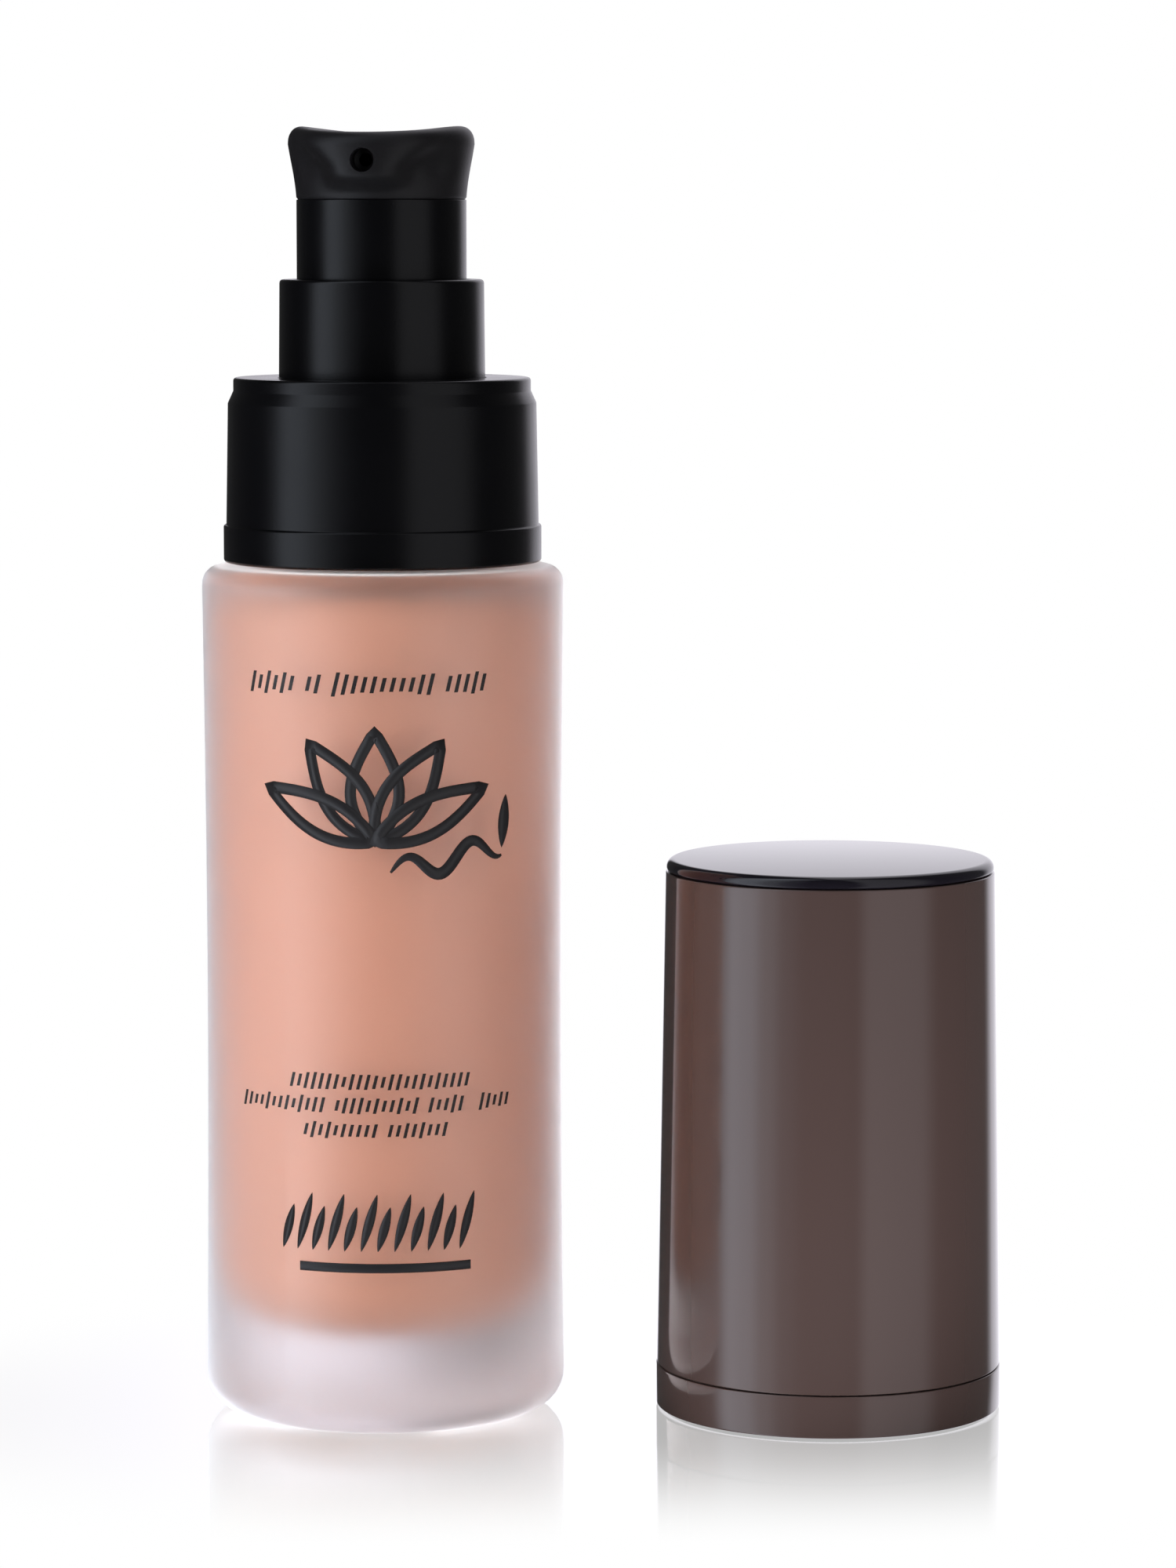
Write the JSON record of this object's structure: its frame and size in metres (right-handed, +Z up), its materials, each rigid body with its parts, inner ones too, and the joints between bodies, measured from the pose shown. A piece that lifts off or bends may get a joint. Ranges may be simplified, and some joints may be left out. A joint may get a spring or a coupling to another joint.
{
  "type": "foundation bottle",
  "caption": "Frosted glass cylinder bottle of liquid foundation with a black screw-on treatment pump, and its tapered brown overcap standing beside it.",
  "frame": {"origin": "centre of the glass base, on the surface that the bottle stands on", "axes": "+Z up along the bottle's axis, -Y towards the nozzle side (the printed front), +X towards the overcap"},
  "size_m": [0.0734, 0.033, 0.1176],
  "materials": {
    "frosted_glass": "acid-frosted clear glass",
    "foundation": "opaque beige cream",
    "satin_black": "satin moulded plastic",
    "matt_black": "fine matt moulded plastic",
    "gloss_black": "polished",
    "gloss_brown": "high-gloss lacquer",
    "natural_plastic": "unpigmented polypropylene",
    "white_plastic": "moulded polypropylene",
    "gasket_rubber": "soft foamed polyethylene",
    "steel": "drawn stainless steel"
  },
  "bodies": {
    "bottle": {"glass_bottle": "frosted_glass", "foundation_fill": "foundation"},
    "pump": {"pump_housing": "natural_plastic", "neck_gasket": "gasket_rubber", "dip_tube": "natural_plastic", "stem_guide": "white_plastic", "return_spring": "steel"},
    "check_ball": {"inlet_ball": "steel"},
    "stem": {"piston_stem": "white_plastic", "piston": "natural_plastic", "valve_rod": "white_plastic"},
    "actuator": {"actuator_head": "matt_black", "actuator_sleeve": "satin_black"},
    "collar": {"threaded_closure": "satin_black", "collar_sleeve": "satin_black", "guide_ring": "satin_black"},
    "cap": {"cap_shell": "gloss_brown", "cap_top_disc": "gloss_black", "cap_liner": "matt_black", "cap_base_ring": "gloss_brown"}
  },
  "joints": [
    {"name": "pump_lift", "type": "slide", "parent": "bottle", "child": "pump", "axis": [0, 0, 1], "range_m": [0, 0.0048]},
    {"name": "collar_turn", "type": "hinge", "parent": "pump", "child": "collar", "pos_m": [0, 0, 0.0868], "axis": [0, 0, 1], "range_deg": [0, 540]},
    {"name": "press", "type": "slide", "parent": "pump", "child": "stem", "axis": [0, 0, -1], "range_m": [0, 0.005], "stiffness_N_per_m": 800, "springref_m": -0.006, "deforming": ["return_spring"]},
    {"name": "head_turn", "type": "hinge", "parent": "stem", "child": "actuator", "pos_m": [0, 0, 0.111], "axis": [0, 0, 1], "continuous": true},
    {"name": "ball_lift", "type": "slide", "parent": "pump", "child": "check_ball", "axis": [0, 0, 1], "range_m": [0, 0.0006]},
    {"name": "cap_lift", "type": "slide", "parent": "bottle", "child": "cap", "axis": [0, 0, 1], "range_m": [0, 0.13]}
  ],
  "couplings": [
    {"joint": "pump_lift", "follows": "collar_turn", "m_per_rad": 0.00050532}
  ]
}
